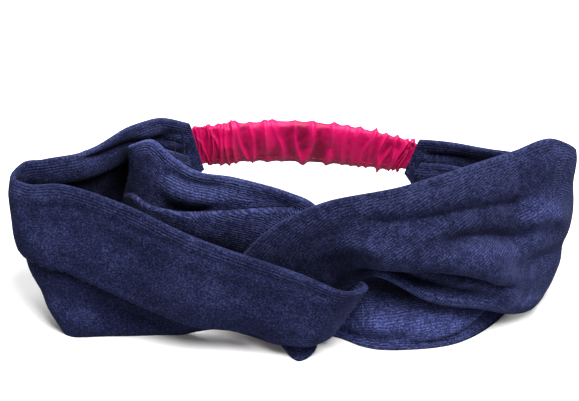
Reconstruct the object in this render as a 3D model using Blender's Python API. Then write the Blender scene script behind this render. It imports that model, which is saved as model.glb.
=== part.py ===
"""Knotted headband: two velour strips hooked through each other in front, joined behind by a ruched satin
casing that holds a flat elastic.

Metres, +Z up. The headband stands on its lower edges at Z = 0 with the knot towards -Y, and the middle of
its length and depth is on the Z axis. Lengths in this file are millimetres, and MM turns them into metres.
"""

import math
from typing import NamedTuple

import bmesh
import bpy
import numpy as np
from mathutils import Vector

MM = 0.001

# Driving dimensions
VELOUR_THICKNESS = 3.0  # a flat tube of velour, two layers
GATHERED_THICKNESS = 3.4  # the same tube where it is pleated into its end seam
CASING_WALL = 0.6
ELASTIC_WIDTH = 10.0
ELASTIC_THICKNESS = 0.8
THREAD_RADIUS = 0.4
CLEARANCE = 0.5  # gap left between threads and the cloth that they sew
THREAD_LIFT = VELOUR_THICKNESS / 2 + THREAD_RADIUS + CLEARANCE  # a thread's middle, off a strip's middle
GATHERED_SHARE = 0.04  # of a strip's length, at each end

# Joint axes, both upright
KNOT_AXIS = (3.5, -29.5)
LEFT_GATHER_AXIS = (-42.5, 38.0)

STRIP_COLUMNS, STRIP_ROWS = 88, 6
CASING_COLUMNS, CASING_SIDES = 20, 12
THREAD_SIDES = 4


class Station(NamedTuple):
    """One place along a velour strip: its upper edge, its lower edge, and how far its middle bulges."""

    top: tuple
    bottom: tuple
    belly: float = 0.0


class Section(NamedTuple):
    """One place along the casing: its centre, and the height and depth of its flat oval section."""

    centre: tuple
    height: float
    depth: float


# Each strip starts and ends in its gather behind. The left one leaves along its outer arm, rounds the left end
# of the ring, bends at the knot and returns as the inner arm. The right one leaves along its inner arm and
# returns as the outer one, so that one face of both strips is away from the other arm all the way.
LEFT_STRIP = (
    Station((-40, 42.7, 51), (-38, 42.1, 31)),
    Station((-53.5, 36.5, 58), (-48.5, 34.5, 22), 1.5),
    Station((-67.5, 26, 61), (-60.5, 20.5, 9), 3),
    Station((-85.5, 9.5, 61), (-76.5, 1.5, 1), 3),
    Station((-102.5, 3.5, 60), (-86.5, -18.5, -1), 3),
    Station((-111.5, -0.5, 59), (-91, -29.5, -1), 4.5),
    Station((-114, -6.5, 57.5), (-92, -33.5, -1), 5),  # left end of the ring
    Station((-107.5, -11.5, 59), (-85.5, -36, -1), 5),
    Station((-92.5, -15.5, 62), (-73.5, -36, -1), 6),
    Station((-68.5, -23.5, 58.5), (-55.5, -35.5, -1), 7),
    Station((-36.5, -35.5, 50), (-31.5, -40.5, 2), 6),
    Station((2.5, -44.5, 40), (-3.5, -48, 4.5), 1.5),
    Station((21.5, -47, 30.5), (9.5, -49.5, 4.5), 0.5),
    Station((31, -40.5, 25), (17, -43.5, 4.5)),  # bend, hooked round the right strip
    Station((23.5, -28.5, 29.5), (7.5, -35, 6)),
    Station((13.5, -23.5, 50), (-6.5, -28, 15)),
    Station((-2.5, -18.5, 58.5), (-24.5, -21.5, 33)),
    Station((-23.5, -12.5, 61.5), (-39.5, -17.5, 37), -1),
    Station((-44.5, -2.5, 61), (-54.5, -9.5, 38), -2),
    Station((-62.5, 8.5, 62.5), (-68.5, 4.5, 42)),  # inner turn at the left
    Station((-59.5, 18.5, 61.5), (-63.5, 16.5, 37), 1),
    Station((-50.5, 28, 57), (-49.5, 26, 28), 1.5),
    Station((-38, 33.7, 51), (-36, 33.1, 31)),
)

RIGHT_STRIP = (
    Station((47, 33, 42.5), (44, 32.6, 27)),
    Station((60.5, 29.5, 43), (54.5, 25.5, 20), 1),
    Station((74.5, 24, 44), (66.5, 17.5, 14)),
    Station((89.5, 16.5, 46), (81.5, 3.5, 6)),
    Station((94.5, 7.5, 46), (91.5, -9.5, -1)),  # inner turn at the right
    Station((84.5, -0.5, 46), (84.5, -23.5, -1)),
    Station((66.5, -7.5, 46), (67.5, -37.5, -1)),
    Station((43.5, -12.5, 45), (43.5, -41.5, -1)),
    Station((20.5, -12.5, 43), (29.5, -40, -1), 3),
    Station((-5.5, -9.5, 39), (15.5, -34.5, -1), 4),
    Station((-25.5, -11.5, 28), (1.5, -34.5, -1), 2),
    Station((-32.5, -22.5, 26), (-4.5, -42.5, -1)),  # bend, hooked round the left strip
    Station((-25.5, -33, 35), (2.5, -44.5, 3)),
    Station((-10.5, -34.5, 51), (14.5, -40.5, 13)),
    Station((12.5, -33.5, 64), (31.5, -37.5, 31), 1),
    Station((42.5, -29.5, 69.5), (54.5, -37, 21), 4),
    Station((72.5, -18.5, 72), (74.5, -33.5, 10), 5),
    Station((87.5, -10.5, 72.5), (87.5, -27.5, 5), 5),
    Station((102.5, -0.5, 71), (96.5, -22.5, 3), 6),
    Station((111.5, 6.5, 62), (100.5, -13.5, 4), 7),  # right end of the ring
    Station((102.5, 14.5, 56), (95.5, 2.5, -1), 5),
    Station((84.5, 26.5, 51), (75.5, 20.5, 5), 3),
    Station((65.5, 36.5, 48), (57.5, 33.5, 15), 1.5),
    Station((49, 43.4, 43.5), (46, 43, 26)),
)

CASING = (
    Section((-47.5, 33.9, 41), 15, 2.6),
    Section((-39.5, 37.9, 41), 18.5, 3),
    Section((-23.5, 44, 38.2), 20.5, 6.5),
    Section((1.5, 48, 36.3), 22, 7),
    Section((26.5, 45, 36), 19.5, 6.5),
    Section((47, 38.2, 35), 15, 2.8),
    Section((53, 35.8, 35), 13.5, 2.6),
)

# Where each thread row crosses the pieces it sews, as shares of a strip's or the casing's length
SEAM_SPAN = (0.03, 0.97)
END_SEAM_AT = 0.008
GATHERING_AT = 0.02
END_ROW_REACH = 0.085  # past each edge, as a share of the width
END_ROW_POINTS = 7
SEAM_ACROSS = 0.12  # place of the tube's closing seam across a strip, from its lower edge
ELASTIC_SPAN = (0.01, 0.99)
TOPSTITCH_SPAN = (0.1, 0.9)
TOPSTITCH_POINTS = 40
TOPSTITCH_DROP = 0.36  # below the casing's middle, as a share of its height
OVAL_FLATNESS = 0.7  # power that makes the casing's oval section boxier than an ellipse

COLOURS = {  # base colour, roughness
    "navy_velour": ((0.030, 0.034, 0.105), 0.9),
    "crimson_satin": ((0.60, 0.012, 0.085), 0.35),
    "white_elastic": ((0.80, 0.79, 0.75), 0.75),
    "navy_thread": ((0.020, 0.024, 0.085), 0.6),
    "crimson_thread": ((0.50, 0.010, 0.070), 0.5),
}


def spline(keys, share):
    """Points at these shares of the length of a smooth curve through the keys, one key a row."""
    keys = np.asarray(keys, float)
    steps = np.linalg.norm(np.diff(keys, axis=0), axis=1)
    at = np.concatenate([[0], np.cumsum(steps)]) / steps.sum()
    slopes = np.gradient(keys, at, axis=0)
    share = np.clip(share, 0, 1)
    i = np.clip(np.searchsorted(at, share, side="right") - 1, 0, len(keys) - 2)
    gap = (at[i + 1] - at[i])[:, None]
    t = ((share - at[i]) / gap[:, 0])[:, None]
    return (
        (2 * t**3 - 3 * t**2 + 1) * keys[i]
        + (t**3 - 2 * t**2 + t) * gap * slopes[i]
        + (3 * t**2 - 2 * t**3) * keys[i + 1]
        + (t**3 - t**2) * gap * slopes[i + 1]
    )


def unit(vectors):
    return vectors / np.linalg.norm(vectors, axis=-1, keepdims=True)


def strip_rails(stations, share):
    """Upper edge, lower edge, belly and outward normal of a strip at these shares of its length."""
    rails = spline([[*s.top, *s.bottom, s.belly] for s in stations], share)
    top, bottom, bellies = rails[:, :3], rails[:, 3:6], rails[:, 6]
    along = np.gradient((top + bottom) / 2, axis=0)
    outward = unit(np.cross(unit(along), unit(top - bottom)))
    return top, bottom, bellies, outward


def strip_point(stations, share, across, lift=0.0):
    """Points on a strip: share along it, across from the lower edge (0) to the upper (1), lift off its face."""
    top, bottom, bellies, outward = strip_rails(stations, share)
    bulge = 4 * across * (1 - across) * bellies + lift
    return bottom + (top - bottom) * across[:, None] + outward * bulge[:, None]


def new_object(name, mesh, colour, parent):
    """A shaded object at its parent's origin, from a mesh whose vertices are in the headband's frame."""
    mesh.transform(parent.matrix_world.inverted())
    mesh.shade_smooth()
    mesh.set_sharp_from_angle(angle=math.radians(50))
    made = bpy.data.objects.new(name, mesh)
    made.parent = parent
    mesh.materials.append(material(colour))
    bpy.context.scene.collection.objects.link(made)
    return made


def material(name):
    if name in bpy.data.materials:
        return bpy.data.materials[name]
    made = bpy.data.materials.new(name)
    made.use_nodes = True
    colour, roughness = COLOURS[name]
    shader = made.node_tree.nodes["Principled BSDF"]
    shader.inputs["Base Color"].default_value = (*colour, 1)
    shader.inputs["Roughness"].default_value = roughness
    shader.inputs["Metallic"].default_value = 0
    return made


def pivot(name, x, y):
    """An empty on an upright joint axis."""
    made = bpy.data.objects.new(name, None)
    made.location = Vector((x, y, 0)) * MM
    bpy.context.scene.collection.objects.link(made)
    bpy.context.view_layer.update()
    return made


def loft(name, rings, capped):
    """A mesh skinned over closed rings of points, each ring an array of the same number of rows."""
    work = bmesh.new()
    loops = [[work.verts.new(Vector(p) * MM) for p in ring] for ring in rings]
    pairs = list(zip(loops[:-1], loops[1:]))
    if not capped:
        pairs.append((loops[-1], loops[0]))
    for near, far in pairs:
        for i in range(len(near)):
            j = (i + 1) % len(near)
            work.faces.new((near[i], near[j], far[j], far[i]))
    if capped:
        work.faces.new(loops[0])
        work.faces.new(loops[-1])
    bmesh.ops.recalc_face_normals(work, faces=work.faces)
    return mesh_from(name, work)


def mesh_from(name, work):
    mesh = bpy.data.meshes.new(name)
    work.to_mesh(mesh)
    work.free()
    return mesh


def velour_strip(name, stations, parent):
    """A strip of velour tube, pressed flat, thicker at its gathered ends and flattened where it rests."""
    share = np.linspace(0, 1, STRIP_COLUMNS)
    from_end = np.minimum(share, 1 - share)
    half = np.interp(from_end, (0, GATHERED_SHARE), (GATHERED_THICKNESS / 2, VELOUR_THICKNESS / 2))
    across = np.linspace(0, 1, STRIP_ROWS)
    outer = [strip_point(stations, share, np.full(STRIP_COLUMNS, v), half) for v in across]
    inner = [strip_point(stations, share, np.full(STRIP_COLUMNS, v), -half) for v in across[::-1]]
    rings = np.stack(outer + inner, axis=1)
    rings[..., 2] = np.maximum(rings[..., 2], 0)
    return new_object(name, loft(name, rings, capped=True), "navy_velour", parent)


def oval(centre, across, up, height, depth, sides):
    """A flat oval ring of points: a superellipse, so that its faces are nearly flat."""
    turn = np.linspace(0, 2 * math.pi, sides, endpoint=False)
    x = np.sign(np.cos(turn)) * np.abs(np.cos(turn)) ** OVAL_FLATNESS * depth / 2
    z = np.sign(np.sin(turn)) * np.abs(np.sin(turn)) ** OVAL_FLATNESS * height / 2
    return centre + x[:, None] * across + z[:, None] * up


def casing_frames(share):
    """Centre, height, depth, across and up of the casing at these shares of its length."""
    rows = spline([[*s.centre, s.height, s.depth] for s in CASING], share)
    centre = rows[:, :3]
    along = unit(np.gradient(centre, axis=0))
    across = unit(np.cross(along, (0, 0, 1)))
    up = np.cross(across, along)
    return centre, rows[:, 3], rows[:, 4], across, up


def elastic_casing(parent):
    """The satin tube, open at both ends."""
    share = np.linspace(0, 1, CASING_COLUMNS)
    centre, height, depth, across, up = casing_frames(share)
    wall = 2 * CASING_WALL
    rows = list(zip(centre, across, up, height, depth))
    outer = [oval(c, a, u, h, d, CASING_SIDES) for c, a, u, h, d in rows]
    inner = [oval(c, a, u, h - wall, d - wall, CASING_SIDES) for c, a, u, h, d in reversed(rows)]
    mesh = loft("elastic_casing", outer + inner, capped=False)
    return new_object("elastic_casing", mesh, "crimson_satin", parent)


def elastic_strip(parent):
    """The flat elastic down the middle of the casing, from end seam to end seam."""
    share = np.linspace(*ELASTIC_SPAN, CASING_COLUMNS)
    centre, _, _, across, up = casing_frames(share)
    thick, wide = ELASTIC_THICKNESS / 2 * across, ELASTIC_WIDTH / 2 * up
    corners = [centre - thick - wide, centre + thick - wide, centre + thick + wide, centre - thick + wide]
    rings = np.stack(corners, axis=1)
    return new_object("elastic_strip", loft("elastic_strip", rings, capped=True), "white_elastic", parent)


def thread(name, path, colour, parent, closed=False):
    """A sewing thread laid along a path of points."""
    path = np.asarray(path)
    ahead, behind = np.roll(path, -1, axis=0), np.roll(path, 1, axis=0)
    if not closed:
        ahead[-1], behind[0] = path[-1], path[0]
    along = unit(ahead - behind)
    flat_normal = np.linalg.svd(path - path.mean(axis=0))[2][-1]
    side = unit(np.cross(along, flat_normal))
    other = np.cross(along, side)
    turn = np.linspace(0, 2 * math.pi, THREAD_SIDES, endpoint=False)
    rings = [
        path[i] + THREAD_RADIUS * (np.cos(turn)[:, None] * side[i] + np.sin(turn)[:, None] * other[i])
        for i in range(len(path))
    ]
    return new_object(name, loft(name, rings, capped=not closed), colour, parent)


def strip_seam(name, stations, parent):
    """The seam that closes a strip's tube, near the lower edge of the face that its arms turn to each other."""
    share = np.linspace(0, 1, STRIP_COLUMNS)
    line = strip_point(stations, share, np.full(STRIP_COLUMNS, SEAM_ACROSS), -THREAD_LIFT)
    used = (share > SEAM_SPAN[0]) & (share < SEAM_SPAN[1])
    return thread(name, line[used], "navy_thread", parent)


def end_row(name, stations, at, parent):
    """A row of stitches round both gathered ends of a strip and what lies between them."""
    lift = GATHERED_THICKNESS / 2 + THREAD_RADIUS + CLEARANCE
    across = np.linspace(-END_ROW_REACH, 1 + END_ROW_REACH, END_ROW_POINTS)
    rows = [(at, across), (1 - at, across[::-1])]
    path = []
    for place, heights in rows:
        top, bottom, bellies, outward = strip_rails(stations, np.array([place - at / 2, place, place + at / 2]))
        for v in heights:
            bulge = 4 * v * (1 - v) * bellies[1]
            path.append(bottom[1] + (top[1] - bottom[1]) * v + outward[1] * (bulge + lift))
    return thread(name, path, "navy_thread", parent, closed=True)


def casing_topstitch(parent):
    """The stitched row that holds the elastic up, low on the face that lies against the hair."""
    share = np.linspace(*TOPSTITCH_SPAN, TOPSTITCH_POINTS)
    centre, height, depth, across, up = casing_frames(share)
    out = depth / 2 + THREAD_RADIUS + CLEARANCE
    path = centre + out[:, None] * across - (TOPSTITCH_DROP * height)[:, None] * up
    return thread("casing_topstitch", path, "crimson_thread", parent)


def build():
    for old in list(bpy.data.objects):
        bpy.data.objects.remove(old)
    left_loop = pivot("left_loop", 0, 0)
    right_loop = pivot("right_loop", *KNOT_AXIS)
    elastic_back = pivot("elastic_back", *LEFT_GATHER_AXIS)

    velour_strip("left_strip", LEFT_STRIP, left_loop)
    velour_strip("right_strip", RIGHT_STRIP, right_loop)
    strip_seam("left_strip_seam", LEFT_STRIP, left_loop)
    strip_seam("right_strip_seam", RIGHT_STRIP, right_loop)
    end_row("left_end_seam", LEFT_STRIP, END_SEAM_AT, left_loop)
    end_row("right_end_seam", RIGHT_STRIP, END_SEAM_AT, right_loop)
    end_row("left_gathering_thread", LEFT_STRIP, GATHERING_AT, left_loop)
    end_row("right_gathering_thread", RIGHT_STRIP, GATHERING_AT, right_loop)
    elastic_casing(elastic_back)
    elastic_strip(elastic_back)
    casing_topstitch(elastic_back)


build()
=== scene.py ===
"""The looks of a knotted headband: two navy velour strips hooked through each other in front, and a ruched
crimson casing with a flat elastic inside it behind.

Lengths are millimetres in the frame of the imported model, and MM turns them into metres.
"""

import math
from typing import NamedTuple

import bpy
import numpy as np
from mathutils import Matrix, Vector


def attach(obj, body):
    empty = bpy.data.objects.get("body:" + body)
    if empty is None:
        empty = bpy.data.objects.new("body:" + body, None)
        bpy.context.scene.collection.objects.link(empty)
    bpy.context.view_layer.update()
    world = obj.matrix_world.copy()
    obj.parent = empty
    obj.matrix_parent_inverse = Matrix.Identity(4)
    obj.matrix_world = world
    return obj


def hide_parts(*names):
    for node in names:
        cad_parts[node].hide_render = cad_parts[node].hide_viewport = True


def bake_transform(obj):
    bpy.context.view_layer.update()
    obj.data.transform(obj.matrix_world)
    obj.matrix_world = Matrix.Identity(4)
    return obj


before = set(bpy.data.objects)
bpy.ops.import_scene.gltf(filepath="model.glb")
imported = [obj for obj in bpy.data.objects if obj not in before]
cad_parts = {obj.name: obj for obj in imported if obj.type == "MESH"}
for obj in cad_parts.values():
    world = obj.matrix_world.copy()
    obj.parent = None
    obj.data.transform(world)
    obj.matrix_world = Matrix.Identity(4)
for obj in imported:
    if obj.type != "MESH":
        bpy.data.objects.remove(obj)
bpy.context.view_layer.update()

MM = 0.001

# Driving dimensions
VELOUR_THICKNESS = 2.5
RIB_PITCH = 1.05
WELT_PITCH, WELT_REACH = 1.25, 6.0  # close welts beside a strip's edges, and how far in they fade out
CASING_HEIGHT, CASING_DEPTH = 21.0, 6.0  # of the plain tube, before it is fitted to its sections
CASING_WALL = 0.5
SATIN_FULLNESS = 1.7  # satin for each millimetre of gathered casing, as the weave is drawn
SATIN_PITCHES = 0.42, 0.36  # of its weave, along and round the casing
ELASTIC_WIDTH, ELASTIC_THICKNESS = 10.0, 0.9
ELASTIC_LENGTH = 103.0  # for the casing's whole length, as the elastic's weave is drawn
CORD_PITCH, PICK_PITCH = 1.25, 0.9  # of the elastic's cords, and of the ribs that cross them
PLY_PITCH = 0.9  # of the twist in the thread
STITCH_LENGTH, STITCH_GAP = 2.4, 0.9
STRIP_THREAD_RADIUS, CASING_THREAD_RADIUS = 0.16, 0.2
FLOOR_CLEARANCE, STITCH_CLEARANCE = 0.05, 0.1

STRIP_COLUMNS, STRIP_ROWS, EDGE_ROWS = 440, 92, 5
PROFILE_ROWS = 360  # samples across a strip before it is resampled evenly along its folded section
CASING_COLUMNS, CASING_SIDES = 260, 72
STITCH_RINGS, STITCH_SIDES = 7, 6
LATTICE = 128  # cells each way before the noise repeats

# A strip's cloth is calm this close to its long edges and to its ends. Elsewhere it waves, by a height and
# with a size along and across, and so do its edges.
EDGE_CALM, END_CALM = 6.0, 10.0
SURFACE_WAVES = ((1.1, 34, 17), (0.45, 15, 8))
EDGE_WAVE = (0.5, 26, 30)


class Station(NamedTuple):
    """One place along a velour strip: its upper edge, its lower edge, and how far its middle bulges."""

    top: tuple
    bottom: tuple
    belly: float = 0.0


class Section(NamedTuple):
    """One place along the casing: its centre, and the height and depth of its flat oval section."""

    centre: tuple
    height: float
    depth: float


class Pleat(NamedTuple):
    """A fold where the cloth laps over itself: where it runs (station number, share across), how wide its
    turn is, how many widths it laps back, and how far its upper layer stands in front of its lower one.
    span is where it starts, is full, stops being full and ends."""

    line: tuple
    width: float
    lap: float
    step: float
    span: tuple


class Roll(NamedTuple):
    """A soft ridge, or with a negative height a furrow, running along a strip."""

    line: tuple
    width: float
    height: float
    span: tuple


class PaintedBand(NamedTuple):
    """A soft band of painted light along a strip, by this share brighter, or with a negative amount painted
    shade, darker.
    """

    line: tuple
    width: float
    amount: float
    span: tuple


class PileAndLight(NamedTuple):
    """The pile at a station number: the slant of its ribs to the strip's edges, their strength, and the
    painted light and shade, as brightness factors at the strip's upper and at its lower edge."""

    number: float
    slant: float
    strength: float
    upper: float
    lower: float


LEFT_STRIP = (
    Station((-43.5, 42.4, 49), (-38.5, 42.1, 27)),
    Station((-54.5, 36.8, 56), (-48.5, 34.5, 22), 1.5),
    Station((-67.5, 26, 60), (-60.5, 20.5, 9), 3),
    Station((-85.5, 9.5, 59.5), (-76.5, 1.5, 1), 3),
    Station((-101.5, 2.5, 60.5), (-86.5, -18.5, -1), 3),
    Station((-110.2, -0.5, 60), (-91, -29.5, -1), 5),
    Station((-112.2, -6, 58.5), (-91.5, -33.5, -1), 6),  # left end of the ring
    Station((-106.5, -11, 58.5), (-85.5, -36, -1), 6.5),
    Station((-92.5, -15.5, 61.5), (-73.5, -36.5, -1), 6),
    Station((-68.5, -23.5, 58), (-55.5, -36.5, -1), 7),
    Station((-36.5, -35.5, 49.5), (-31.5, -40.5, 6), 6),
    Station((2.5, -44.5, 39.5), (-3.5, -48, 7.8), 1.5),
    Station((21.5, -46.5, 32.1), (8.5, -49.5, 9.2), 0.5),
    Station((28.6, -40.5, 29.9), (15.2, -43.5, 8.6)),  # bend
    Station((22.5, -28.5, 26.5), (7.5, -35, 6.5)),
    Station((13.5, -23.5, 51.5), (-6.5, -28, 14)),
    Station((-2.5, -18, 58.8), (-24.5, -21.5, 29)),
    Station((-23.5, -12, 61.8), (-39.5, -17.5, 31), -1),
    Station((-40, -6, 61), (-54.5, -10, 33), -1.5),
    Station((-49, 1.5, 62), (-61.5, -3, 34), -1),
    Station((-57.5, 8.5, 65.5), (-66, 4, 34.5), 0),
    Station((-66, 13.5, 59), (-69, 10.5, 33), 1),  # inner turn at the left
    Station((-63.5, 20, 55), (-64.5, 18, 31), 1),
    Station((-54.5, 27.5, 47), (-52.5, 26.5, 27.5), 0.5),
    Station((-44.6, 35.6, 37), (-42, 35, 25.5)),
)
RIGHT_STRIP = (
    Station((53.8, 36, 33), (50.8, 35.4, 23)),
    Station((62.5, 31, 36), (56.5, 28, 18), 1),
    Station((74.5, 24, 39), (66.5, 17.5, 12)),
    Station((89.5, 16.5, 44), (81.5, 3.5, 6)),
    Station((94.5, 7.5, 46), (91.5, -9.5, -1)),  # inner turn at the right
    Station((84.5, -0.5, 46), (84.5, -23.5, -1)),
    Station((66.5, -7.5, 46), (67.5, -38, -1)),
    Station((43.5, -12.5, 45), (43.5, -42, -1)),
    Station((20.5, -12.5, 43), (29.5, -41, -1), 2.2),
    Station((-5.5, -9.5, 39), (15.5, -34.5, -1), 1.5),
    Station((-25.5, -11.5, 28), (2.5, -36.5, -1), 0.5),
    Station((-32.5, -22.5, 24.2), (1.9, -49.5, -1)),  # bend
    Station((-25.5, -33, 32.9), (8.2, -45.6, 2.2)),
    Station((-10.5, -34.5, 52), (11, -40.5, 17)),
    Station((12.5, -33, 66), (30.2, -37, 33.6), 1),
    Station((42.5, -29, 70.5), (54.5, -40.5, 24.2), 4),
    Station((72.5, -17, 73), (74.5, -37.5, 18), 5),
    Station((87.5, -9.5, 73), (87.5, -30, 8.8), 4.5),
    Station((103, 0, 72.4), (98, -20.5, 3.4), 4),
    Station((113.3, 6.8, 63), (102.8, -12.8, 4.6), 4),  # right end of the ring
    Station((102.5, 14.5, 54), (94.5, 2.5, -1), 4),
    Station((84.5, 26.5, 47), (75.5, 20.5, 5), 3),
    Station((65.5, 36.5, 43.8), (57.5, 33.5, 15), 1.5),
    Station((53.2, 42.6, 40.5), (48.2, 42.2, 25)),
)
CASING = (
    Section((-44.2, 40.9, 38.4), 16, 1.0),
    Section((-40.8, 42.3, 38.3), 19, 2.2),
    Section((-35, 43.6, 38), 20.5, 4.4),
    Section((-18, 46.4, 37.4), 20.5, 6.4),
    Section((1.5, 48, 36.6), 21.5, 7),
    Section((22, 46.4, 35.8), 20, 6.4),
    Section((42, 43.4, 34), 16.5, 4.2),
    Section((50.2, 42.2, 33), 13.6, 2.2),
    Section((53.4, 41.0, 32.8), 12, 1.0),
)
CASING_LEANS = (-0.23, 0.32)  # how far its two ends slant, towards +x for each millimetre up

# On an outer arm in front, a layer with a positive step or height stands towards the front of the ring; on an
# inner arm it stands towards the back.
LEFT_FOLDS = (
    # the outer arm's front sheet ends in a crease, and the flap under it reaches the table
    Pleat(((5, 0.62), (6, 0.60), (7, 0.57), (7.5, 0.54), (8, 0.49), (9, 0.40), (10, 0.22), (11, 0.03)),
          3.2, 3.4, 5.4, (5.2, 6.6, 9.8, 10.9)),
    Roll(((5.5, 0.30), (8, 0.24), (9.5, 0.14)), 6.0, -2.2, (5.4, 6.4, 8.6, 9.6)),
    Roll(((7, 0.0), (12, 0.0)), 3.5, -2.4, (6.5, 7.6, 10, 11)),
    # its rim, doubled, and the long hollow under it
    Roll(((6.5, 0.90), (12, 0.86)), 2.0, -0.8, (6.5, 7.5, 11, 12)),
    Roll(((6.5, 0.78), (9, 0.72), (11.5, 0.62)), 8.0, -1.8, (6.4, 7.6, 10, 11.6)),
    # the same arm behind: an inner rim, and the sheet that stands up beyond it
    Pleat(((1, 0.62), (2, 0.76), (3, 0.85), (4.2, 0.88), (5.4, 0.89)), 2.4, 3.0, -6.0, (0.9, 1.7, 4.4, 5.6)),
    Roll(((1, 0.74), (2, 0.87), (3, 0.97)), 2.0, 3.0, (0.8, 1.4, 2.7, 3.3)),
    Roll(((1, 0.40), (4, 0.60)), 9, 3.4, (0.8, 1.6, 3.8, 4.8)),
    # gathers into the end seam, on both arms
    Roll(((0, 0.28), (2, 0.52)), 1.8, 1.4, (0.3, 0.8, 1.1, 2.1)),
    Roll(((0, 0.58), (1.8, 0.76)), 1.6, 1.2, (0.3, 0.7, 0.9, 1.8)),
    Roll(((22.4, 0.66), (24, 0.45)), 1.8, -1.3, (22.2, 23.1, 24, 25)),
    # the inner arm's two sheets
    Pleat(((15.2, 0.95), (15.6, 0.86), (16, 0.74), (17, 0.49), (18, 0.33), (19, 0.22), (20, 0.17),
           (21, 0.16)), 2.4, 3.0, 3.0, (15.0, 15.8, 20.0, 21.2)),
    Roll(((16, 0.80), (17, 0.57), (18.6, 0.38)), 2.4, 3.2, (17.0, 17.5, 18.0, 18.6)),
    Roll(((16.6, 0.78), (17.5, 0.66), (19, 0.58)), 4.0, -1.2, (16.0, 17.0, 18.4, 19.4)),
    Roll(((17.2, 0.88), (19, 0.82)), 2.4, 0.9, (16.8, 17.6, 18.6, 19.4)),
)
RIGHT_FOLDS = (
    # furrows and ridges of the outer arm
    Roll(((14, 0.77), (15, 0.74), (16, 0.713), (17, 0.70)), 3.6, -4.0, (14.0, 15.2, 16.8, 17.7)),
    Roll(((17.2, 0.63), (18.4, 0.585)), 5.0, 4.4, (16.9, 17.5, 18.1, 18.9)),
    Roll(((15.2, 0.57), (16, 0.52), (17, 0.49)), 4.4, -4.4, (15.0, 15.8, 16.8, 17.6)),
    Roll(((13, 0.50), (15, 0.48), (16, 0.42), (17, 0.41), (18.6, 0.42)), 4.2, 2.4, (13, 14.4, 17.6, 18.8)),
    Roll(((14, 0.27), (15, 0.46), (16, 0.34), (17, 0.26)), 3.6, 2.4, (13.8, 14.6, 16.2, 17.2)),
    Roll(((17.2, 0.36), (18.8, 0.34)), 5.0, -2.2, (16.9, 17.6, 18.6, 19.4)),
    # a hooded hollow above its lower edge
    Pleat(((13.4, 0.12), (14, 0.18), (14.5, 0.31), (15, 0.39), (15.5, 0.34), (16, 0.27), (17.2, 0.17)),
          3.0, 2.6, 5.6, (13.6, 14.4, 16.1, 17.2)),
    Roll(((14.4, 0.15), (15, 0.16), (16, 0.10), (17, 0.08)), 3.2, -2.6, (14.2, 14.9, 15.7, 16.6)),
    Roll(((15, 0.27), (16, 0.17), (17, 0.11)), 3.6, 3.0, (15.0, 15.6, 16.6, 17.3)),
    Roll(((14, 0.03), (18, 0.05)), 3.0, 2.6, (13.6, 14.6, 17.4, 18.6)),
    # the inner arm's face swells low down; its hem, and the thin layer outside it
    Roll(((5.5, 0.22), (9, 0.22)), 9.0, -7.0, (5.2, 6.6, 7.5, 8.5)),
    Pleat(((4.5, 0.30), (5.5, 0.20), (6.5, 0.10), (7.5, 0.04)), 1.8, 2.4, -2.4, (4.2, 4.9, 6.0, 7.2)),
    Roll(((6.5, 0.10), (9, 0.10)), 2.2, 1.4, (6.2, 7.2, 9.0, 9.8)),
    # gathers into the end seam
    Roll(((0.5, 0.35), (3, 0.5)), 4.0, 1.2, (0.4, 1.2, 2.2, 3.2)),
    Roll(((0, 0.60), (1.4, 0.72)), 1.6, 1.0, (-1, 0.1, 0.7, 1.5)),
    Roll(((20.5, 0.55), (22.5, 0.5)), 4.0, -1.2, (20.3, 21, 22, 22.8)),
    Roll(((21.2, 0.60), (23, 0.34)), 1.7, 1.4, (21.0, 21.9, 22.3, 22.7)),
    Roll(((21.6, 0.84), (23, 0.68)), 1.5, 1.0, (21.4, 22.0, 22.4, 22.7)),
)
# the slant and strength of the ribs, then painted light and shade as brightness factors at the upper and
# lower edge
LEFT_PILE_AND_LIGHT = (
    PileAndLight(0, 0, 0.6, 1.1, 1.0),
    PileAndLight(2, 0, 0.6, 1.05, 0.6),
    PileAndLight(4.5, 0, 0.5, 1.0, 0.6),
    PileAndLight(6.5, 0, 0.2, 0.84, 1.4),
    PileAndLight(12, 0, 0.3, 0.84, 1.1),
    PileAndLight(12.9, 0, 0.6, 1.5, 1.7),
    PileAndLight(14, 0, 1, 1.0, 1.0),
    PileAndLight(16, 0, 1, 1.2, 1.15),
    PileAndLight(18.5, 0, 1, 1.45, 1.5),
    PileAndLight(20.5, 0, 1, 2.0, 2.0),
    PileAndLight(24, 0, 0.6, 1.1, 1.0),
)
RIGHT_PILE_AND_LIGHT = (
    PileAndLight(0, 0, 0.5, 0.9, 0.9),
    PileAndLight(4.5, 0, 0.4, 1.0, 1.2),
    PileAndLight(6, 0, 0.5, 0.5, 2.5),
    PileAndLight(9, 0, 0.8, 0.2, 2.4),
    PileAndLight(12.4, 0, 1, 0.5, 0.3),
    PileAndLight(13.4, 0.2, 0.8, 0.76, 0.5),
    PileAndLight(14.2, 0.3, 0.8, 0.70, 1.1),
    PileAndLight(16.5, 0.34, 0.8, 0.70, 1.3),
    PileAndLight(18, 0.34, 0.8, 0.95, 1.15),
    PileAndLight(19.5, 0, 0.5, 0.95, 1.0),
    PileAndLight(23, 0, 0.5, 1.0, 1.0),
)
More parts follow.
